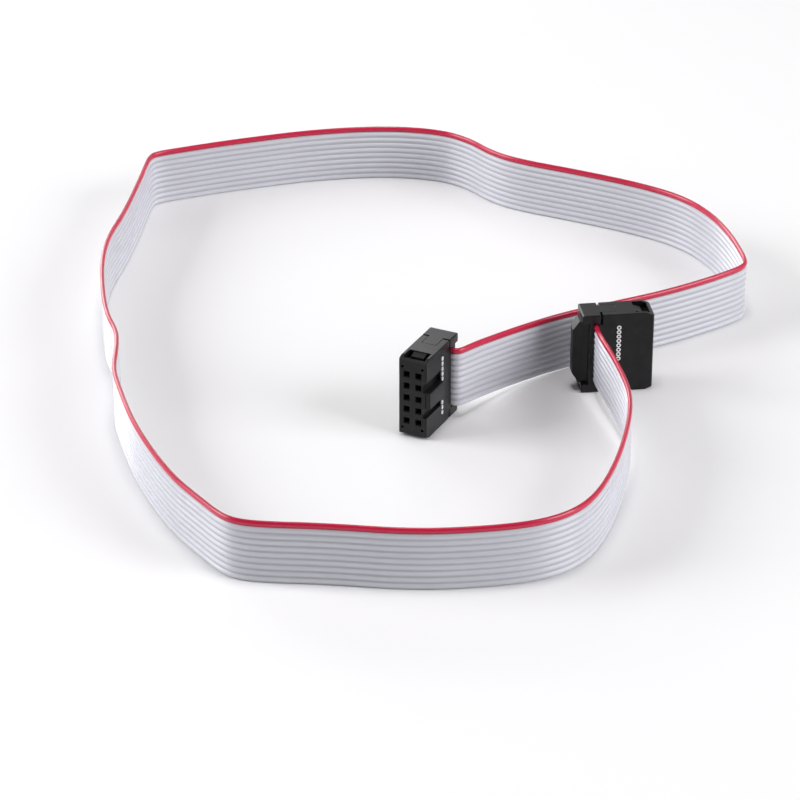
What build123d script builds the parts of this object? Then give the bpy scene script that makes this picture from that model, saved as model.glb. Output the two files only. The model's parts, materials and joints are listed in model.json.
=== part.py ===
from build123d import *
import os
from math import atan2, cos, degrees, radians, sin, tan

# A ten-way flat ribbon cable, standing on its edge in one loose loop, with a
# two-row female socket clamped on each end. Lengths are in millimetres. The
# origin is on the table, under the middle of the two sockets' common box.

# Ribbon: ten insulated wires side by side, the top one red, clamped a little above the
# middle of each socket
wire_count = 10
wire_pitch = 1.27
wire_diameter = 0.9
ribbon_width = wire_count * wire_pitch
ribbon_thickness = wire_diameter
ribbon_rise = 0.15
red_height = wire_pitch
grey_height = ribbon_width - red_height

# Where the two sockets stand, and how far each is turned about the vertical
socket_a_x = -22.86
socket_a_y = -12.92
socket_a_turn_degrees = -25.92
socket_b_x = 25.1
socket_b_y = 10.77
socket_b_turn_degrees = 97.45

# Contact field: two rows of five at the usual pitch
row_count = 2
ways_per_row = 5
row_gap = 2.54
way_pitch = 2.54

# Housing: mating face at y = 0, ribbon clamped against a bed that stands up from its rear
housing_length = 17.2
housing_width = 6.0
housing_depth = 10.4
bed_height = 0.85
end_lead_height = 0.65
end_lead_depth = 1.6
edge_round = 0.2
mating_edge_chamfer = 0.25
front_wall = 1.2
pin_hole = 0.95
pin_lead = 1.35
pin_lead_depth = 0.45
cavity_width = 1.3
cavity_height = 1.6
corner_dimple = 0.6
corner_dimple_depth = 0.5
corner_dimple_inset_x = 0.85
corner_dimple_inset_z = 1.95

# Polarising key on one long side, with a groove along each of its flanks
key_width = 3.5
key_depth = 6.4
key_height = 0.75
key_lead = 0.25
key_round = 0.15
groove_width = 2.1
groove_depth = 0.8
groove_length = 6.4

# Pocket in each end, near the mating face, with a ramp for a header's ejector
pocket_width = 4.7
pocket_front = 0.75
pocket_rear = 3.7
pocket_depth = 1.45
ramp_width = 2.7
ramp_front = 2.2
ramp_front_height = 0.85
ramp_rear_height = 1.25

# Cover: plate behind the ribbon, end ears, a spine between them, latch tongues
cover_plate = 1.0
ear_thickness = 1.8
ear_seam = 0.5
ear_clearance = 0.15
ear_depth = 2.35
ear_round = 0.35
spine_height = 3.0
spine_top_width = 2.6
spine_base_width = 4.0
spine_round = 0.4
spine_chamfer_length = 2.0
spine_chamfer_height = 1.3
tongue_width = 3.0
tongue_thickness = 0.9
tongue_reach = 2.95
barb_length = 1.0
barb_height = 0.35
tongue_clearance = 0.08

# Contact: one stamping, a tuning fork for the pin and a fork that pierces the ribbon
contact_thickness = 0.35
contact_clearance = 0.08
beam_tip = 1.5
beam_grip = 2.4
beam_root = 6.8
beam_tip_gap = 0.86
beam_grip_gap = 0.5
beam_root_gap = 0.76
beam_tip_width = 1.24
spine_end = 9.6
fork_width = 1.0
fork_base = 8.7
fork_stand = 1.9
fork_slot = 0.22
fork_slot_mouth = 0.46
fork_mouth_depth = 0.5
fork_tip_width = 0.66
fork_tip_taper = 0.5
fork_slot_root = 11.0

# Overrun of a cutting shape past the face that it opens, and what counts as on the table
overrun = 0.5
flat_tolerance = 0.001

# Free route of the ribbon's middle line from socket A to socket B, as chosen on
# the table: x, y, and how much of the socket's lift is left there
route = [
    (-13.6, -3.95, 1.0), (-12.4, -2.95, 1.0), (-11.0, -1.2, 0.9), (-8.8, 1.7, 0.7),
    (-1.8, 9.1, 0.3),
    (7.5, 16.7, 0.05), (18.0, 22.0, 0.0), (28.4, 27.0, 0.0), (37.4, 32.6, 0.0),
    (43.2, 36.9, 0.0), (46.3, 39.7, 0.0), (47.15, 41.9, 0.0), (46.7, 46.6, 0.0),
    (45.0, 55.0, 0.0), (41.9, 64.6, 0.0), (36.6, 73.6, 0.0), (28.0, 80.8, 0.0),
    (15.0, 89.2, 0.0), (0.5, 96.3, 0.0), (-5.2, 101.2, 0.0), (-9.4, 107.4, 0.0),
    (-16.0, 112.8, 0.0), (-28.5, 115.4, 0.0), (-45.0, 113.2, 0.0), (-64.0, 106.9, 0.0),
    (-75.0, 102.6, 0.0), (-79.9, 100.5, 0.0), (-81.5, 98.5, 0.0), (-82.3, 94.0, 0.0),
    (-83.2, 84.5, 0.0), (-85.3, 67.0, 0.0), (-87.5, 54.0, 0.0), (-87.7, 41.0, 0.0),
    (-86.2, 26.5, 0.0), (-84.5, 16.6, 0.0), (-82.1, 9.6, 0.0), (-81.5, 2.6, 0.0),
    (-81.5, -6.8, 0.0), (-80.2, -15.0, 0.0), (-75.4, -31.0, 0.0), (-67.0, -49.6, 0.0),
    (-60.5, -59.6, 0.0), (-57.2, -64.2, 0.0), (-54.6, -66.3, 0.0), (-49.5, -67.3, 0.0),
    (-38.5, -67.9, 0.0), (-22.5, -69.9, 0.0), (-8.0, -68.6, 0.0), (1.0, -66.1, 0.0),
    (7.4, -61.4, 0.0), (11.6, -54.2, 0.0), (15.7, -42.0, 0.0), (18.3, -29.0, 0.15),
    (19.4, -21.0, 0.4), (18.7, -15.0, 0.6), (16.8, -6.4, 0.9), (15.1, -0.6, 1.0),
]
exit_run_a = 0.6
exit_run_b = 2.5
bend_share = 0.45

# Worked out from the sizes above
half_length = housing_length / 2
half_width = housing_width / 2
bed_rear = housing_depth + bed_height
cover_front = bed_rear + ribbon_thickness
slot_middle = bed_rear + ribbon_thickness / 2
slot_end = ribbon_width / 2 + ribbon_rise + ear_clearance
socket_lift = (housing_length - ribbon_width) / 2 + ribbon_rise
fork_offset = wire_pitch / 2
fork_tip = cover_front + fork_stand - ribbon_thickness
tongue_tip = housing_depth - tongue_reach
key_side = Plane((half_width, 0, 0), x_dir=(0, 1, 0), z_dir=(1, 0, 0))


def across(depth):
    # A plane parallel to the mating face; its x is the socket's x, its y points down
    return Plane((0, depth, 0), x_dir=(1, 0, 0), z_dir=(0, 1, 0))


def end_plane(end):
    # The top (end = 1) or bottom (end = -1) end of a socket; its y is end times the socket's y
    return Plane((0, 0, end * half_length), x_dir=(1, 0, 0), z_dir=(0, 0, end))


def ways():
    # Every contact: its row's x, its z, and how far from there its fork meets a wire
    places = []
    for way in range(ways_per_row):
        z = (way - (ways_per_row - 1) / 2) * way_pitch
        for side in (-1, 1):
            places.append((side * row_gap / 2, z, side * fork_offset + ribbon_rise))
    return places


def make_housing():
    with BuildPart() as housing:
        # Side outline with a lead-in at both ends of the mating face
        with BuildSketch(Plane.YZ):
            with BuildLine():
                Polyline(
                    (0, end_lead_height - half_length),
                    (end_lead_depth, -half_length),
                    (housing_depth, -half_length),
                    (housing_depth, half_length),
                    (end_lead_depth, half_length),
                    (0, half_length - end_lead_height),
                    close=True,
                )
            make_face()
        extrude(amount=half_width, both=True)
        fillet(housing.edges().filter_by(Axis.Y), edge_round)
        chamfer(housing.faces().sort_by(Axis.Y)[0].edges().filter_by(Axis.Z), mating_edge_chamfer)
        # Polarising key and the grooves beside it
        with BuildSketch(key_side):
            with Locations((key_depth / 2, 0)):
                Rectangle(key_depth, key_width)
        extrude(amount=key_height)
        key_face = housing.faces().sort_by(Axis.X)[-1]
        chamfer(key_face.edges().sort_by(Axis.Y)[0], key_lead)
        key_face = housing.faces().sort_by(Axis.X)[-1]
        fillet(key_face.edges().filter_by(Axis.Y), key_round)
        with BuildSketch(key_side):
            flank = (key_width + groove_width) / 2
            groove_middle = (groove_length - overrun) / 2
            with Locations((groove_middle, flank), (groove_middle, -flank)):
                Rectangle(groove_length + overrun, groove_width)
        extrude(amount=-groove_depth, mode=Mode.SUBTRACT)
        # Bed for the ribbon, between the cover's ears
        with BuildSketch(across(housing_depth)):
            Rectangle(housing_width, 2 * (slot_end - ear_clearance))
        extrude(amount=bed_height)
        # Pin holes with their lead-in, and the contact cavities behind them
        lead_taper = degrees(atan2((pin_lead - pin_hole) / 2, pin_lead_depth))
        with BuildSketch(across(0)):
            with GridLocations(row_gap, way_pitch, row_count, ways_per_row):
                Rectangle(pin_lead, pin_lead)
        extrude(amount=pin_lead_depth, taper=lead_taper, mode=Mode.SUBTRACT)
        with BuildSketch(across(0)):
            with GridLocations(row_gap, way_pitch, row_count, ways_per_row):
                Rectangle(pin_hole, pin_hole)
        extrude(amount=front_wall + overrun, mode=Mode.SUBTRACT)
        with BuildSketch(across(front_wall)):
            with GridLocations(row_gap, way_pitch, row_count, ways_per_row):
                Rectangle(cavity_width, cavity_height)
        extrude(amount=bed_rear - front_wall + overrun, mode=Mode.SUBTRACT)
        # Slots for the piercing forks, half a wire pitch up in one row and down in the other
        with BuildSketch(across(fork_base - contact_clearance)):
            for x, z, shift in ways():
                with Locations((x, -z - shift)):
                    Rectangle(contact_thickness + 2 * contact_clearance, fork_width + 2 * contact_clearance)
        extrude(amount=bed_rear - fork_base + contact_clearance + overrun, mode=Mode.SUBTRACT)
        # Ejector-pin dimples in the corners of the mating face
        with BuildSketch(across(0)):
            dimple_x = housing_width - 2 * corner_dimple_inset_x
            dimple_z = housing_length - 2 * corner_dimple_inset_z
            with GridLocations(dimple_x, dimple_z, 2, 2):
                Circle(corner_dimple / 2)
        extrude(amount=corner_dimple_depth, mode=Mode.SUBTRACT)
        for end in (1, -1):
            # Pocket with its ramp
            with BuildSketch(end_plane(end)):
                with Locations((0, end * (pocket_front + pocket_rear) / 2)):
                    Rectangle(pocket_width, pocket_rear - pocket_front)
            extrude(amount=-pocket_depth, mode=Mode.SUBTRACT)
            floor = half_length - pocket_depth
            with BuildSketch(Plane.YZ):
                with BuildLine():
                    Polyline(
                        (ramp_front, end * floor),
                        (pocket_rear, end * floor),
                        (pocket_rear, end * (floor + ramp_rear_height)),
                        (ramp_front, end * (floor + ramp_front_height)),
                        close=True,
                    )
                make_face()
            extrude(amount=ramp_width / 2, both=True)
            # Recess that the cover's tongue lies flush in, and the undercut for its barb
            recess_front = tongue_tip - tongue_clearance
            recess_rear = housing_depth + overrun
            with BuildSketch(end_plane(end)):
                with Locations((0, end * (recess_front + recess_rear) / 2)):
                    Rectangle(tongue_width + 2 * tongue_clearance, recess_rear - recess_front)
            extrude(amount=-tongue_thickness - tongue_clearance, mode=Mode.SUBTRACT)
            undercut_length = barb_length + tongue_clearance
            with BuildSketch(end_plane(end)):
                with Locations((0, end * (recess_front + undercut_length / 2))):
                    Rectangle(tongue_width + 2 * tongue_clearance, undercut_length)
            extrude(amount=-tongue_thickness - barb_height - tongue_clearance, mode=Mode.SUBTRACT)
    return housing.part


def make_cover():
    plate_rear = cover_front + cover_plate
    ear_front = housing_depth + ear_seam
    ear_rear = cover_front + ear_depth
    spine_top = plate_rear + spine_height
    ear_inner = half_length - ear_thickness
    with BuildPart() as cover:
        # Plate with an ear at each end that comes forward beside the ribbon, drawn from the side
        with BuildSketch(Plane.YZ):
            with BuildLine():
                Polyline(
                    (ear_front, -half_length),
                    (ear_rear, -half_length),
                    (ear_rear, -ear_inner),
                    (plate_rear, -ear_inner),
                    (plate_rear, ear_inner),
                    (ear_rear, ear_inner),
                    (ear_rear, half_length),
                    (ear_front, half_length),
                    (ear_front, slot_end),
                    (cover_front, slot_end),
                    (cover_front, -slot_end),
                    (ear_front, -slot_end),
                    close=True,
                )
            make_face()
        extrude(amount=half_width, both=True)
        ear_tips = cover.edges().filter_by(Axis.X).group_by(Axis.Y)[-1]
        fillet(ear_tips.group_by(Axis.Z)[0] + ear_tips.group_by(Axis.Z)[-1], ear_round)
        fillet(cover.edges().filter_by(Axis.Y).group_by(SortBy.LENGTH)[-1], edge_round)
        # Spine between the ears, its ends sloped
        with BuildSketch(Plane.XY.offset(-ear_inner)):
            with BuildLine():
                Polyline(
                    (-spine_base_width / 2, plate_rear),
                    (spine_base_width / 2, plate_rear),
                    (spine_top_width / 2, spine_top),
                    (-spine_top_width / 2, spine_top),
                    close=True,
                )
            make_face()
        extrude(amount=2 * ear_inner)
        spine_face = cover.faces().sort_by(Axis.Y)[-1]
        fillet(spine_face.edges().filter_by(Axis.Z), spine_round)
        for end in (1, -1):
            with BuildSketch(Plane.YZ):
                with BuildLine():
                    Polyline(
                        (spine_top, end * (ear_inner - spine_chamfer_length)),
                        (spine_top - spine_chamfer_height, end * ear_inner),
                        (spine_top, end * ear_inner),
                        close=True,
                    )
                make_face()
            extrude(amount=spine_base_width / 2, both=True, mode=Mode.SUBTRACT)
            # Latch tongue with a barb on its inner side
            inner = half_length - tongue_thickness
            with BuildSketch(Plane.YZ):
                with BuildLine():
                    Polyline(
                        (cover_front, end * half_length),
                        (tongue_tip, end * half_length),
                        (tongue_tip, end * inner),
                        (tongue_tip + barb_length, end * (inner - barb_height)),
                        (tongue_tip + barb_length, end * inner),
                        (cover_front, end * inner),
                        close=True,
                    )
                make_face()
            extrude(amount=tongue_width / 2, both=True)
        # Slots along the whole of the piercing forks, blind behind their tips
        with BuildSketch(across(fork_base - contact_clearance)):
            for x, z, shift in ways():
                with Locations((x, -z - shift)):
                    Rectangle(contact_thickness + 2 * contact_clearance, fork_width + 2 * contact_clearance)
        extrude(amount=fork_tip - fork_base + 2 * contact_clearance, mode=Mode.SUBTRACT)
    return cover.part


def make_contact(x, z, shift):
    # The stamping's outline, seen from the side, round the pin's axis
    half = cavity_height / 2
    low = shift - fork_width / 2
    high = shift + fork_width / 2
    fork = [
        (fork_tip - fork_tip_taper, high),
        (fork_tip, shift + fork_tip_width / 2),
        (fork_tip, shift + fork_slot_mouth / 2),
        (fork_tip - fork_mouth_depth, shift + fork_slot / 2),
        (fork_slot_root, shift + fork_slot / 2),
        (fork_slot_root, shift - fork_slot / 2),
        (fork_tip - fork_mouth_depth, shift - fork_slot / 2),
        (fork_tip, shift - fork_slot_mouth / 2),
        (fork_tip, shift - fork_tip_width / 2),
        (fork_tip - fork_tip_taper, low),
    ]
    if shift > 0:
        upper = [(fork_base, half), (fork_base, high)]
        lower = [(spine_end, low), (spine_end, -half)]
    else:
        upper = [(spine_end, half), (spine_end, high)]
        lower = [(fork_base, low), (fork_base, -half)]
    beams = [
        (beam_root, -half),
        (beam_tip, -beam_tip_width / 2),
        (beam_tip, -beam_tip_gap / 2),
        (beam_grip, -beam_grip_gap / 2),
        (beam_root, -beam_root_gap / 2),
        (beam_root, beam_root_gap / 2),
        (beam_grip, beam_grip_gap / 2),
        (beam_tip, beam_tip_gap / 2),
        (beam_tip, beam_tip_width / 2),
        (beam_root, half),
    ]
    outline = [(y, z + up) for y, up in upper + fork + lower + beams]
    stamping = make_face(Plane.YZ * Polyline(*outline, close=True))
    return Pos(x, 0, 0) * extrude(stamping, amount=contact_thickness / 2, both=True)


def socket_place(x, y, turn):
    return Pos(x, y, half_length) * Rot(0, 0, turn)


def slot_point(x, y, turn, along):
    # A point of the ribbon's middle line in a socket's slot, "along" towards the key side
    angle = radians(turn)
    return Vector(
        x + along * cos(angle) - slot_middle * sin(angle),
        y + along * sin(angle) + slot_middle * cos(angle),
        half_length + ribbon_rise,
    )


def ribbon_runs():
    # The middle line of the ribbon in three runs: lifted out of A, on the table, lifted into B
    a = (socket_a_x, socket_a_y, socket_a_turn_degrees)
    b = (socket_b_x, socket_b_y, socket_b_turn_degrees)
    floor_height = ribbon_width / 2
    free = [slot_point(*a, half_width), slot_point(*a, half_width + exit_run_a)]
    free += [Vector(x, y, floor_height + lift * socket_lift) for x, y, lift in route]
    free += [slot_point(*b, -half_width - exit_run_b), slot_point(*b, -half_width)]
    radii = []
    for before, corner, after in zip(free, free[1:], free[2:]):
        turn = radians((corner - before).get_angle(after - corner))
        shorter_run = min((corner - before).length, (after - corner).length)
        radii.append(bend_share * shorter_run / tan(turn / 2))
    print("bend radii:", [round(radius, 2) for radius in radii])
    clamped_a = Line(slot_point(*a, -half_width), free[0])
    clamped_b = Line(free[-1], slot_point(*b, half_width))
    loop = FilletPolyline(*free, radius=radii)
    edges = Wire([*clamped_a.edges(), *loop.edges(), *clamped_b.edges()]).order_edges()
    on_table = floor_height + flat_tolerance
    low = [number for number, edge in enumerate(edges) if edge.bounding_box().max.Z < on_table]
    first, last = low[0], low[-1]
    print("ribbon length:", round(sum(edge.length for edge in edges), 1))
    return Wire(edges[:first]), Wire(edges[first : last + 1]), Wire(edges[last + 1 :])


def make_strip(runs, low, high):
    # A strip of the ribbon between two heights of its section: the run on the table is
    # an extruded band, the lifted runs are swept with the section kept upright
    lifted_a, table_run, lifted_b = runs
    band = extrude(trace(table_run, ribbon_thickness), amount=high - low, dir=(0, 0, 1))
    strip = Pos(0, 0, low - ribbon_width / 2) * band
    for run in (lifted_a, lifted_b):
        heading = run % 0
        start = Plane(run @ 0, x_dir=Vector(0, 0, 1).cross(heading), z_dir=heading)
        strip_middle = (low + high - ribbon_width) / 2
        section = start * Pos(0, strip_middle, 0) * Rectangle(ribbon_thickness, high - low)
        strip += sweep(section, path=run, binormal=run.translate((0, 0, ribbon_width)))
    expected = ribbon_thickness * (high - low) * sum(run.length for run in runs)
    print("strip volume:", round(strip.volume, 1), "section times length:", round(expected, 1))
    return strip


runs = ribbon_runs()
housing = make_housing()
cover = make_cover()
contacts = [make_contact(*place) for place in ways()]
nodes = {}
placed_contacts = []
for name, place in (
    ("socket_a", socket_place(socket_a_x, socket_a_y, socket_a_turn_degrees)),
    ("socket_b", socket_place(socket_b_x, socket_b_y, socket_b_turn_degrees)),
):
    nodes[name + "_housing"] = place * housing
    nodes[name + "_cover"] = place * cover
    for number, contact in enumerate(contacts, start=1):
        placed = place * contact
        placed_contacts.append(placed)
        nodes[f"{name}_contact_{number:02d}"] = placed
nodes["ribbon_grey_wires"] = make_strip(runs, 0, grey_height) - placed_contacts
nodes["ribbon_red_wire"] = make_strip(runs, grey_height, ribbon_width) - placed_contacts

os.makedirs("parts", exist_ok=True)
for name, shape in nodes.items():
    export_step(shape, os.path.join("parts", name + ".step"))
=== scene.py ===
import json
import math

import bpy
from mathutils import Matrix, Vector


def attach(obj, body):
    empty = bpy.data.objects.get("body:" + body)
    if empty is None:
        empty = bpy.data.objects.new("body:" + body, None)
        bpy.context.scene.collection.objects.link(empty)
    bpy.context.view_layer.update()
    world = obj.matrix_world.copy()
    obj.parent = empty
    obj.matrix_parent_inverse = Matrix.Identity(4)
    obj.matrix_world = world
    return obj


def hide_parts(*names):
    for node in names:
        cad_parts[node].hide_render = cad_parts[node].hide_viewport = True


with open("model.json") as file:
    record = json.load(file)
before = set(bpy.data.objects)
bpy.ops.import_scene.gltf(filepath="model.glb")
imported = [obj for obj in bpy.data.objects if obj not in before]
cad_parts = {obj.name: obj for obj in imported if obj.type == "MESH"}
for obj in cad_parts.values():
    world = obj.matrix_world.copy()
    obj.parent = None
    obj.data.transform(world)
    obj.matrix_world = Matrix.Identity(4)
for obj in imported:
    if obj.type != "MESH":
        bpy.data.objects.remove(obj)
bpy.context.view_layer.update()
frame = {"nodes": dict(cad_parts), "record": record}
bpy.ops.object.select_all(action="DESELECT")
nodes = frame["nodes"]
zUp = Vector((0, 0, 1))
print("frame loaded:", len(nodes), "nodes")


# small helpers for materials

def newMaterial(name):
    material = bpy.data.materials.new(name)
    material.use_nodes = True
    tree = material.node_tree
    return material, tree, tree.nodes["Principled BSDF"]


def addNode(tree, kind, settings=None, **inputs):
    node = tree.nodes.new("ShaderNode" + kind)
    for key, value in (settings or {}).items():
        setattr(node, key, value)
    for key, value in inputs.items():
        socket = node.inputs[key]
        if isinstance(value, bpy.types.NodeSocket):
            tree.links.new(value, socket)
        else:
            socket.default_value = value
    return node


def colourRamp(tree, factor, stops):
    # two stops, each a place on the ramp and a colour
    ramp = addNode(tree, "ValToRGB", Fac=factor)
    for element, (place, colour) in zip(ramp.color_ramp.elements, stops):
        element.position = place
        element.color = (*colour, 1)
    return ramp.outputs["Color"]


def remap(tree, value, low, high):
    node = addNode(tree, "MapRange", Value=value)
    node.inputs["To Min"].default_value = low
    node.inputs["To Max"].default_value = high
    return node.outputs["Result"]


def dressNode(nodeName, material):
    mesh = nodes[nodeName].data
    mesh.materials.clear()
    mesh.materials.append(material)


# insulation of the ribbon: smooth soft vinyl, each wire of a slightly different tone, with painted shade
# in the grooves between the wires

vinyl = {
    "grey": (0.69, 0.695, 0.75),
    "greyDark": (0.645, 0.65, 0.7),
    "red": (0.66, 0.014, 0.065),
    "redDark": (0.54, 0.01, 0.05),
    "roughness": (0.17, 0.25),
    "paintedGrooveShade": 0.72,               # painted shade: darker tone in the grooves between the wires
    "grooveReach": 0.0003,
    "streakScale": (25, 1600, 1),      # along and across, for metres of the UV map
    "streakDetail": 2.0,
    "streakStops": (0.3, 0.65),
    "grainScale": 1500,
    "grainDetail": 3.0,
    "bumpHeight": 0.000012,
    "bumpStrength": 0.2,
}


def vinylMaterial(name, colour, darkColour):
    material, tree, shader = newMaterial(name)
    uv = addNode(tree, "UVMap", {"uv_map": "ribbonUv"}).outputs["UV"]
    stretched = addNode(tree, "Mapping", Vector=uv, Scale=vinyl["streakScale"]).outputs["Vector"]
    streaks = addNode(
        tree, "TexNoise", Vector=stretched, Scale=1.0, Detail=vinyl["streakDetail"],
    ).outputs["Fac"]
    grain = addNode(
        tree, "TexNoise", Vector=uv, Scale=vinyl["grainScale"], Detail=vinyl["grainDetail"],
    ).outputs["Fac"]
    shade = colourRamp(tree, streaks, zip(vinyl["streakStops"], (darkColour, colour)))
    # painted shade: the colour is darkened towards the grooves between the wires, where shade falls
    across = addNode(tree, "SeparateXYZ", Vector=uv).outputs["Y"]
    fromGroove = addNode(tree, "Math", {"operation": "PINGPONG"})
    tree.links.new(across, fromGroove.inputs[0])
    fromGroove.inputs[1].default_value = ribbon["wirePitch"] / 2
    tone = addNode(tree, "MapRange", {"interpolation_type": "SMOOTHSTEP"}, Value=fromGroove.outputs[0])
    tone.inputs["From Max"].default_value = vinyl["grooveReach"]
    tone.inputs["To Min"].default_value = vinyl["paintedGrooveShade"]
    grooveShadePainted = addNode(tree, "HueSaturation", Color=shade, Value=tone.outputs["Result"])
    tree.links.new(grooveShadePainted.outputs["Color"], shader.inputs["Base Color"])
    tree.links.new(remap(tree, streaks, *vinyl["roughness"]), shader.inputs["Roughness"])
    bump = addNode(
        tree, "Bump", Height=grain, Strength=vinyl["bumpStrength"], Distance=vinyl["bumpHeight"],
    )
    tree.links.new(bump.outputs["Normal"], shader.inputs["Normal"])
    return material


# the sockets' glass-filled plastic: near black, a fine moulded grain, a little worn in patches, edges
# softened

mouldedPlastic = {
    "black": (0.0075, 0.0075, 0.008),
    "worn": (0.014, 0.014, 0.0145),
    "grainScale": 5200,
    "grainDetail": 3.0,
    "cloudScale": 420,
    "cloudDetail": 4.0,
    "wearStops": (0.35, 0.75),
    "roughness": (0.24, 0.36),
    "specular": 0.25,
    "bumpHeight": 0.00003,
    "bumpStrength": 0.3,
    "edgeRadius": 0.00009,
    "edgeSamples": 6,
}


def plasticMaterial():
    material, tree, shader = newMaterial("mouldedBlack")
    place = addNode(tree, "TexCoord").outputs["Object"]
    grain = addNode(
        tree, "TexNoise", Vector=place,
        Scale=mouldedPlastic["grainScale"], Detail=mouldedPlastic["grainDetail"],
    ).outputs["Fac"]
    cloud = addNode(
        tree, "TexNoise", Vector=place,
        Scale=mouldedPlastic["cloudScale"], Detail=mouldedPlastic["cloudDetail"],
    ).outputs["Fac"]
    tones = (mouldedPlastic["black"], mouldedPlastic["worn"])
    shade = colourRamp(tree, cloud, zip(mouldedPlastic["wearStops"], tones))
    tree.links.new(shade, shader.inputs["Base Color"])
    roughness = remap(tree, grain, *mouldedPlastic["roughness"])
    tree.links.new(roughness, shader.inputs["Roughness"])
    shader.inputs["Specular IOR Level"].default_value = mouldedPlastic["specular"]
    softEdge = addNode(
        tree, "Bevel", {"samples": mouldedPlastic["edgeSamples"]}, Radius=mouldedPlastic["edgeRadius"],
    )
    bump = addNode(
        tree, "Bump", Height=grain, Normal=softEdge.outputs["Normal"],
        Strength=mouldedPlastic["bumpStrength"], Distance=mouldedPlastic["bumpHeight"],
    )
    tree.links.new(bump.outputs["Normal"], shader.inputs["Normal"])
    return material


# metals: the contacts' gold flash and the tinned copper of the cut wires

plating = {
    # dull and bright tone of each finish
    "gold": ((0.66, 0.5, 0.24), (0.83, 0.68, 0.36)),
    "tin": ((0.55, 0.44, 0.36), (0.78, 0.72, 0.66)),
    "cloudScale": 2600,
    "cloudDetail": 3.0,
    "cloudStops": (0.3, 0.7),
    "roughness": (0.22, 0.42),
}


def platedMaterial(name, finish):
    material, tree, shader = newMaterial(name)
    place = addNode(tree, "TexCoord").outputs["Object"]
    cloud = addNode(
        tree, "TexNoise", Vector=place, Scale=plating["cloudScale"], Detail=plating["cloudDetail"],
    ).outputs["Fac"]
    shade = colourRamp(tree, cloud, zip(plating["cloudStops"], plating[finish]))
    tree.links.new(shade, shader.inputs["Base Color"])
    roughness = remap(tree, cloud, *plating["roughness"])
    tree.links.new(roughness, shader.inputs["Roughness"])
    shader.inputs["Metallic"].default_value = 1.0
    return material


# the ribbon: ten insulated wires side by side, stood on edge along its route

ribbon = {
    "wireCount": 10,
    "wirePitch": 0.00127,
    "wireRadius": 0.00045,
    "webHalf": 0.00017,        # half the thickness of the web between two wires
    "onMiddle": 0.0000017,     # an outline point nearer than this to the middle has no twin
    "arcSteps": 6,
    "splineOrder": 3,
    "routeSteps": 8,           # rings from one route point to the next
    "slotDepth": 0.0117,       # middle of the clamped ribbon behind the mating face
    "slotRise": 0.00015,       # how far above a socket's middle the ribbon is clamped
    "socketHalf": 0.003,       # half a socket's width, where the ribbon is cut flush
    "exitRun": (0.0006, 0.0025),   # straight run outside socket A, and outside B
    "length": 0.567,
    "creaseAngle": math.radians(40),
    # x, y in metres and the share of the socket's lift that is left there
    "route": [
        (-0.0136, -0.00395, 1.0), (-0.0124, -0.00295, 1.0), (-0.011, -0.0012, 0.9),
        (-0.0088, 0.0017, 0.7), (-0.0018, 0.0091, 0.3), (0.0075, 0.0167, 0.05),
        (0.018, 0.022, 0.0), (0.0284, 0.027, 0.0), (0.0374, 0.0326, 0.0), (0.0432, 0.0369, 0.0),
        (0.0463, 0.0397, 0.0), (0.04715, 0.0419, 0.0), (0.0467, 0.0466, 0.0),
        (0.0452, 0.0555, 0.0), (0.0422, 0.0655, 0.0), (0.0369, 0.0746, 0.0),
        (0.028, 0.0816, 0.0), (0.015, 0.0886, 0.0), (0.0005, 0.0954, 0.0),
        (-0.0052, 0.1005, 0.0), (-0.0094, 0.1068, 0.0), (-0.016, 0.1119, 0.0),
        (-0.0285, 0.1141, 0.0), (-0.045, 0.112, 0.0), (-0.064, 0.1058, 0.0),
        (-0.075, 0.1014, 0.0), (-0.0799, 0.0993, 0.0), (-0.0813, 0.0976, 0.0),
        (-0.0819, 0.094, 0.0), (-0.0828, 0.0845, 0.0), (-0.0849, 0.067, 0.0),
        (-0.0875, 0.054, 0.0), (-0.0877, 0.041, 0.0), (-0.0862, 0.0265, 0.0),
        (-0.0845, 0.0166, 0.0), (-0.0821, 0.0096, 0.0), (-0.0815, 0.0026, 0.0),
        (-0.0815, -0.0068, 0.0), (-0.0797, -0.015, 0.0), (-0.0755, -0.031, 0.0),
        (-0.0678, -0.0496, 0.0), (-0.0612, -0.0596, 0.0), (-0.0576, -0.0648, 0.0),
        (-0.0546, -0.067, 0.0), (-0.0495, -0.068, 0.0), (-0.0385, -0.0686, 0.0),
        (-0.0225, -0.0708, 0.0), (-0.008, -0.0694, 0.0), (0.001, -0.067, 0.0),
        (0.0074, -0.0624, 0.0), (0.0118, -0.0547, 0.0), (0.0157, -0.042, 0.0),
        (0.0183, -0.029, 0.15), (0.019, -0.021, 0.4), (0.0184, -0.015, 0.6),
        (0.0166, -0.0064, 0.9), (0.0151, -0.0006, 1.0),
    ],
}
ribbon["width"] = ribbon["wireCount"] * ribbon["wirePitch"]


def socketAxes(mountName):
    # middle of the mating face, the direction towards the key, the direction into the socket
    mount = next(m for m in frame["record"]["mounts"] if m["name"] == mountName)
    depth = -Vector(mount["axis"]).normalized()
    return Vector(mount["pos_m"]), depth.cross(zUp), depth


socketA = socketAxes("socket_a_mating_face")
socketB = socketAxes("socket_b_mating_face")


def slotPoint(socket, along):
    middle, across, depth = socket
    return middle + across * along + depth * ribbon["slotDepth"] + zUp * ribbon["slotRise"]


def routePoints():
    half = ribbon["socketHalf"]
    floorHeight = ribbon["width"] / 2
    lift = socketA[0].z + ribbon["slotRise"] - floorHeight
    points = [slotPoint(socketA, along) for along in (-half, half, half + ribbon["exitRun"][0])]
    points += [Vector((x, y, floorHeight + share * lift)) for x, y, share in ribbon["route"]]
    points += [slotPoint(socketB, along) for along in (-half - ribbon["exitRun"][1], -half, half)]
    return points


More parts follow.
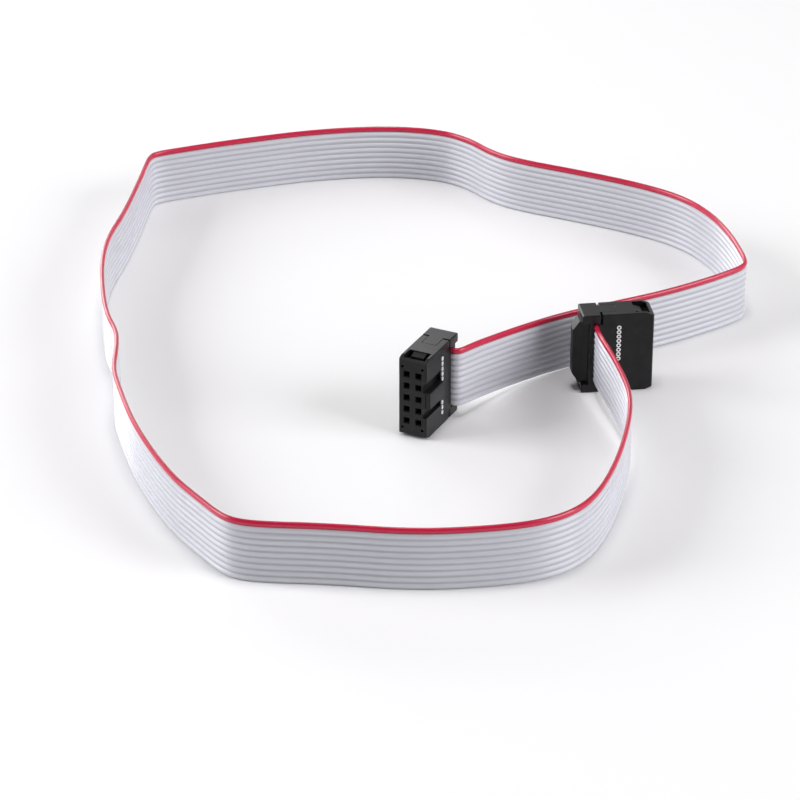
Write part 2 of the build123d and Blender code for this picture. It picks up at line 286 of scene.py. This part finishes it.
def smoothRoute(points):
    # one NURBS spline on the route's points, read back as the points along it
    curve = bpy.data.curves.new("ribbonRoute", "CURVE")
    curve.dimensions = "3D"
    spline = curve.splines.new("NURBS")
    spline.points.add(len(points) - 1)
    for control, place in zip(spline.points, points):
        control.co = (*place, 1)
    spline.order_u = ribbon["splineOrder"]
    spline.use_endpoint_u = True
    spline.resolution_u = ribbon["routeSteps"]
    carrier = bpy.data.objects.new("ribbonRoute", curve)
    line = bpy.data.meshes.new_from_object(carrier)
    places = [vertex.co.copy() for vertex in line.vertices]
    bpy.data.meshes.remove(line)
    bpy.data.curves.remove(curve)
    return places


def routeFrames(places):
    # place, sideways and upward direction of the ribbon's section at every point
    frames = []
    last = len(places) - 1
    for number, place in enumerate(places):
        heading = (places[min(number + 1, last)] - places[max(number - 1, 0)]).normalized()
        side = zUp.cross(heading).normalized()
        frames.append((place, side, heading.cross(side)))
    return frames


def wireHeight(number):
    return (number - (ribbon["wireCount"] - 1) / 2) * ribbon["wirePitch"]


def sectionOutline(first, last):
    # closed outline of the wires first to last, as (sideways, up) from the ribbon's middle
    radius = ribbon["wireRadius"]
    webAngle = math.acos(ribbon["webHalf"] / radius)
    flank = []
    if first > 0:
        flank.append((ribbon["webHalf"], wireHeight(first) - ribbon["wirePitch"] / 2))
    for number in range(first, last + 1):
        low = -math.pi / 2 if number == 0 else -webAngle
        high = math.pi / 2 if number == ribbon["wireCount"] - 1 else webAngle
        for step in range(ribbon["arcSteps"] + 1):
            angle = low + (high - low) * step / ribbon["arcSteps"]
            outer = (number == 0 and angle < 0) or (number == ribbon["wireCount"] - 1 and angle > 0)
            reach = ribbon["wirePitch"] / 2 if outer else radius
            flank.append((radius * math.cos(angle), wireHeight(number) + reach * math.sin(angle)))
    if last < ribbon["wireCount"] - 1:
        flank.append((ribbon["webHalf"], wireHeight(last) + ribbon["wirePitch"] / 2))
    mirrored = [(-side, up) for side, up in reversed(flank) if side > ribbon["onMiddle"]]
    return flank + mirrored


def sweepOutline(name, outline, frames):
    count = len(outline)
    points = [place + side * across + up * rise for place, side, up in frames for across, rise in outline]
    faces = []
    for ring in range(len(frames) - 1):
        for number in range(count):
            here = ring * count + number
            beside = ring * count + (number + 1) % count
            faces.append((here, beside, beside + count, here + count))
    faces.append(tuple(reversed(range(count))))
    faces.append(tuple(range(len(points) - count, len(points))))
    mesh = bpy.data.meshes.new(name)
    mesh.from_pydata(points, [], faces)
    # UV map: metres along the ribbon, metres across it
    along = [0.0]
    for before, after in zip(frames, frames[1:]):
        along.append(along[-1] + (after[0] - before[0]).length)
    layer = mesh.uv_layers.new(name="ribbonUv")
    for loop in mesh.loops:
        ring, number = divmod(loop.vertex_index, count)
        layer.data[loop.index].uv = (along[ring], outline[number][1])
    piece = bpy.data.objects.new(name, mesh)
    bpy.context.scene.collection.objects.link(piece)
    bpy.context.view_layer.objects.active = piece
    piece.select_set(True)
    bpy.ops.object.shade_smooth_by_angle(angle=ribbon["creaseAngle"])
    piece.select_set(False)
    return piece


routePlaces = smoothRoute(routePoints())
ribbonFrames = routeFrames(routePlaces)
redWire = ribbon["wireCount"] - 1
greyRibbon = sweepOutline("ribbonGrey", sectionOutline(0, redWire - 1), ribbonFrames)
redEdge = sweepOutline("ribbonRedEdge", sectionOutline(redWire, redWire), ribbonFrames)
greyRibbon.data.materials.append(vinylMaterial("vinylGrey", vinyl["grey"], vinyl["greyDark"]))
redEdge.data.materials.append(vinylMaterial("vinylRed", vinyl["red"], vinyl["redDark"]))
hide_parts("ribbon_grey_wires")
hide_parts("ribbon_red_wire")
for piece, slotName in ((greyRibbon, "ribbon_grey"), (redEdge, "ribbon_red")):
    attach(piece, "root")
print("ribbon laid:", len(routePlaces), "rings")

blackPlastic = plasticMaterial()
goldFlash = platedMaterial("goldFlash", "gold")
for nodeName in nodes:
    if nodeName.startswith("socket"):
        dressNode(nodeName, goldFlash if "contact" in nodeName else blackPlastic)
print("sockets dressed")


def faceMatrix(origin, right, up):
    # a place whose x is right, y is up and z points out of the face
    right = right.normalized()
    out = right.cross(up).normalized()
    turn = Matrix((right, out.cross(right), out)).transposed().to_4x4()
    return Matrix.Translation(origin) @ turn


def joinPieces(name, copies):
    bpy.ops.object.select_all(action="DESELECT")
    for copy in copies:
        copy.select_set(True)
    bpy.context.view_layer.objects.active = copies[0]
    bpy.ops.object.transform_apply(location=True, rotation=True, scale=True)
    bpy.ops.object.join()
    piece = bpy.context.active_object
    piece.name = name
    bpy.ops.object.shade_smooth_by_angle(angle=ribbon["creaseAngle"])
    piece.select_set(False)
    return piece


def placeCopies(name, pattern, places):
    # every copy of the pattern has its own mesh; the pattern itself goes away
    copies = []
    for place in places:
        copy = pattern.copy()
        copy.data = pattern.data.copy()
        copy.matrix_world = place
        bpy.context.scene.collection.objects.link(copy)
        copies.append(copy)
    bpy.data.objects.remove(pattern)
    return joinPieces(name, copies)


# cut ends of the wires, seven strands each, flush with the sockets' sides

strands = {
    "radius": 0.000063,
    "length": 0.0004,
    "stand": 0.00003,          # how far the ends stand out of the insulation
    "outerCount": 6,           # strands round the middle one
    "sides": 10,
    "endBevel": 0.000012,
    "bevelSteps": 2,
}


def strandPattern():
    bpy.ops.object.select_all(action="DESELECT")
    bpy.ops.mesh.primitive_cylinder_add(
        vertices=strands["sides"], radius=strands["radius"], depth=strands["length"],
    )
    pattern = bpy.context.active_object
    bevel = pattern.modifiers.new("cutEdge", "BEVEL")
    bevel.width = strands["endBevel"]
    bevel.segments = strands["bevelSteps"]
    bpy.ops.object.modifier_apply(modifier="cutEdge")
    return pattern


def strandPlaces(socket, side):
    across, depth = socket[1:]
    end = slotPoint(socket, side * (ribbon["socketHalf"] + strands["stand"] - strands["length"] / 2))
    pitch = 2 * strands["radius"]
    offsets = [(0.0, 0.0)]
    for number in range(strands["outerCount"]):
        angle = 2 * math.pi * number / strands["outerCount"]
        offsets.append((pitch * math.cos(angle), pitch * math.sin(angle)))
    places = []
    for wire in range(ribbon["wireCount"]):
        for sideways, up in offsets:
            origin = end + depth * sideways + zUp * (wireHeight(wire) + up)
            places.append(faceMatrix(origin, zUp.cross(across * side), zUp))
    return places


tinnedCopper = platedMaterial("tinnedCopper", "tin")
for name, socket, side in (("strandEndsA", socketA, -1), ("strandEndsB", socketB, 1)):
    piece = placeCopies(name, strandPattern(), strandPlaces(socket, side))
    piece.data.materials.append(tinnedCopper)
    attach(piece, "root")
print("wire ends cut")


# plain printed marks on one side of each socket: dashes on A, rings on B

marks = {
    "thickness": 0.00002,
    "dash": (0.0007, 0.0008),         # along the depth, along the height
    "dashCorner": 0.0002,
    "cornerSteps": 4,
    "dashDepth": 0.0071,
    "dashHeights": (0.0062, 0.0051, 0.004, 0.0029, 0.0018, -0.0034, -0.0045, -0.0056),
    "ring": (0.00034, 0.00013),        # radius of the middle line, half the line's width
    "ringSteps": (24, 8),              # round the ring, round its line
    "ringDepth": 0.0071,
    "ringTop": 0.0056,
    "ringPitch": 0.00098,
    "ringCount": 8,
    "ink": (0.86, 0.86, 0.86),
    "inkThin": (0.6, 0.6, 0.6),
    "inkScale": 3200,
    "inkDetail": 4.0,
    "inkStops": (0.3, 0.5),
    "inkRoughness": (0.5, 0.7),
}


def inkMaterial():
    material, tree, shader = newMaterial("whiteInk")
    place = addNode(tree, "TexCoord").outputs["Object"]
    wear = addNode(
        tree, "TexNoise", Vector=place, Scale=marks["inkScale"], Detail=marks["inkDetail"],
    ).outputs["Fac"]
    shade = colourRamp(tree, wear, zip(marks["inkStops"], (marks["inkThin"], marks["ink"])))
    tree.links.new(shade, shader.inputs["Base Color"])
    tree.links.new(remap(tree, wear, *marks["inkRoughness"]), shader.inputs["Roughness"])
    return material


def dashPattern():
    bpy.ops.object.select_all(action="DESELECT")
    bpy.ops.mesh.primitive_cube_add(size=1.0, scale=(*marks["dash"], marks["thickness"]))
    pattern = bpy.context.active_object
    bpy.ops.object.transform_apply(scale=True)
    bpy.ops.object.mode_set(mode="EDIT")
    bpy.ops.mesh.select_all(action="DESELECT")
    bpy.ops.object.mode_set(mode="OBJECT")
    for edge in pattern.data.edges:
        ends = [pattern.data.vertices[number].co for number in edge.vertices]
        edge.select = abs(ends[0].z - ends[1].z) > marks["thickness"] / 2
    bpy.ops.object.mode_set(mode="EDIT")
    bpy.ops.mesh.select_mode(type="EDGE")
    bpy.ops.mesh.bevel(offset=marks["dashCorner"], segments=marks["cornerSteps"], clamp_overlap=False)
    bpy.ops.object.mode_set(mode="OBJECT")
    return pattern


def ringPattern():
    bpy.ops.object.select_all(action="DESELECT")
    radius, line = marks["ring"]
    aroundRing, aroundLine = marks["ringSteps"]
    bpy.ops.mesh.primitive_torus_add(
        major_radius=radius, minor_radius=line, major_segments=aroundRing, minor_segments=aroundLine,
    )
    pattern = bpy.context.active_object
    pattern.scale.z = marks["thickness"] / line
    bpy.ops.object.transform_apply(scale=True)
    return pattern


def markPlace(socket, side, depthIn, height):
    middle, across, depth = socket
    origin = middle + across * side * ribbon["socketHalf"] + depth * depthIn + zUp * height
    return faceMatrix(origin, zUp.cross(across * side), zUp)


whiteInk = inkMaterial()
dashPlaces = [markPlace(socketA, 1, marks["dashDepth"], height) for height in marks["dashHeights"]]
ringPlaces = [
    markPlace(socketB, -1, marks["ringDepth"], marks["ringTop"] - number * marks["ringPitch"])
    for number in range(marks["ringCount"])
]
dashes = placeCopies("dashesA", dashPattern(), dashPlaces)
rings = placeCopies("ringsB", ringPattern(), ringPlaces)
for piece in (dashes, rings):
    piece.data.materials.append(whiteInk)
    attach(piece, "root")
print("marks printed")


# camera at the photograph's angle, worked out from the sockets' corners

camera = {
    "elevation": math.radians(27.68),
    "distance": 0.64475,
    "aim": Vector((-0.02527, 0.00295, 0.0)),   # point of the table in the picture's middle
    "focalPixels": 3218,
    "framePixels": 800,
    "sensor": 36.0,
    "clip": (0.01, 50.0),
}


def setCamera():
    data = bpy.data.cameras.new("photoCamera")
    data.sensor_width = camera["sensor"]
    data.lens = camera["sensor"] * camera["focalPixels"] / camera["framePixels"]
    data.clip_start, data.clip_end = camera["clip"]
    eye = bpy.data.objects.new("photoCamera", data)
    back = Vector((0, -math.cos(camera["elevation"]), math.sin(camera["elevation"])))
    eye.location = camera["aim"] + back * camera["distance"]
    eye.rotation_euler = (math.pi / 2 - camera["elevation"], 0, 0)
    bpy.context.scene.collection.objects.link(eye)
    bpy.context.scene.camera = eye


# pale table in a light tent that is open, and so darker, towards the camera

studio = {
    "floorSize": 6.0,
    "floorDrop": 0.00005,
    "floorBounce": 0.7,        # tone of the table for the light it throws back
    "floorRoughness": 0.7,
    "floorSeen": 0.87,         # its tone as the camera and reflections see it
    "tentStrength": 0.31,      # light of the tent's walls on the object
    "tentSeen": 0.6,           # brightness of the walls in reflections
    "openFront": 0.04,         # the open front, as a share of the walls
    "frontEdge": (-0.8, 0.05),   # forward part of the direction where the opening ends
    "lamps": [
        # name, place, size, watts, colour
        ("topSoftbox", (-0.02, 0.0, 0.7), 0.16, 1.2, (1.0, 0.99, 0.98)),
        ("leftSoftbox", (-1.2, 0.0, 0.56), 0.8, 14.4, (0.98, 0.97, 1.0)),
        ("rightSoftbox", (1.1, -0.45, 0.56), 0.8, 14.0, (0.98, 0.97, 1.0)),
        ("backSoftbox", (-0.84, 1.2, 0.32), 0.6, 6.4, (1.0, 1.0, 1.0)),
        ("backCard", (-0.07, 0.45, 0.26), 0.12, 0.17, (1.0, 1.0, 1.0)),
    ],
}


def seenPart(tree):
    # 1 for what the camera or a reflection sees, 0 for light on its way to a surface
    path = addNode(tree, "LightPath")
    seen = addNode(tree, "Math", {"operation": "MAXIMUM"})
    tree.links.new(path.outputs["Is Camera Ray"], seen.inputs[0])
    tree.links.new(path.outputs["Is Glossy Ray"], seen.inputs[1])
    return seen.outputs[0]


def setFloor():
    bpy.ops.object.select_all(action="DESELECT")
    bpy.ops.mesh.primitive_plane_add(size=studio["floorSize"], location=(0, 0, -studio["floorDrop"]))
    floor = bpy.context.active_object
    floor.name = "table"
    floor.select_set(False)
    material, tree, shader = newMaterial("paleTable")
    tone = remap(tree, seenPart(tree), studio["floorBounce"], studio["floorSeen"])
    tree.links.new(tone, shader.inputs["Base Color"])
    shader.inputs["Roughness"].default_value = studio["floorRoughness"]
    floor.data.materials.append(material)


def setTent():
    world = bpy.data.worlds.new("lightTent")
    world.use_nodes = True
    tree = world.node_tree
    direction = addNode(tree, "TexCoord").outputs["Generated"]
    forward = addNode(tree, "SeparateXYZ", Vector=direction).outputs["Y"]
    wall = addNode(tree, "MapRange", {"interpolation_type": "SMOOTHSTEP"}, Value=forward)
    wall.inputs["From Min"].default_value = studio["frontEdge"][0]
    wall.inputs["From Max"].default_value = studio["frontEdge"][1]
    wall.inputs["To Min"].default_value = studio["openFront"]
    wall.inputs["To Max"].default_value = 1.0
    level = addNode(tree, "Math", {"operation": "MULTIPLY"})
    strength = remap(tree, seenPart(tree), studio["tentStrength"], studio["tentSeen"])
    tree.links.new(strength, level.inputs[0])
    tree.links.new(wall.outputs["Result"], level.inputs[1])
    sky = tree.nodes["Background"]
    sky.inputs["Color"].default_value = (1, 1, 1, 1)
    tree.links.new(level.outputs[0], sky.inputs["Strength"])
    bpy.context.scene.world = world


def setLamps():
    for name, place, size, watts, colour in studio["lamps"]:
        data = bpy.data.lights.new(name, "AREA")
        data.size = size
        data.energy = watts
        data.color = colour
        lamp = bpy.data.objects.new(name, data)
        lamp.location = place
        lamp.rotation_euler = (-Vector(place)).to_track_quat("-Z", "Y").to_euler()
        bpy.context.scene.collection.objects.link(lamp)


setCamera()
setFloor()
setTent()
setLamps()
bpy.context.scene.view_settings.view_transform = "Standard"
print("camera and studio set")
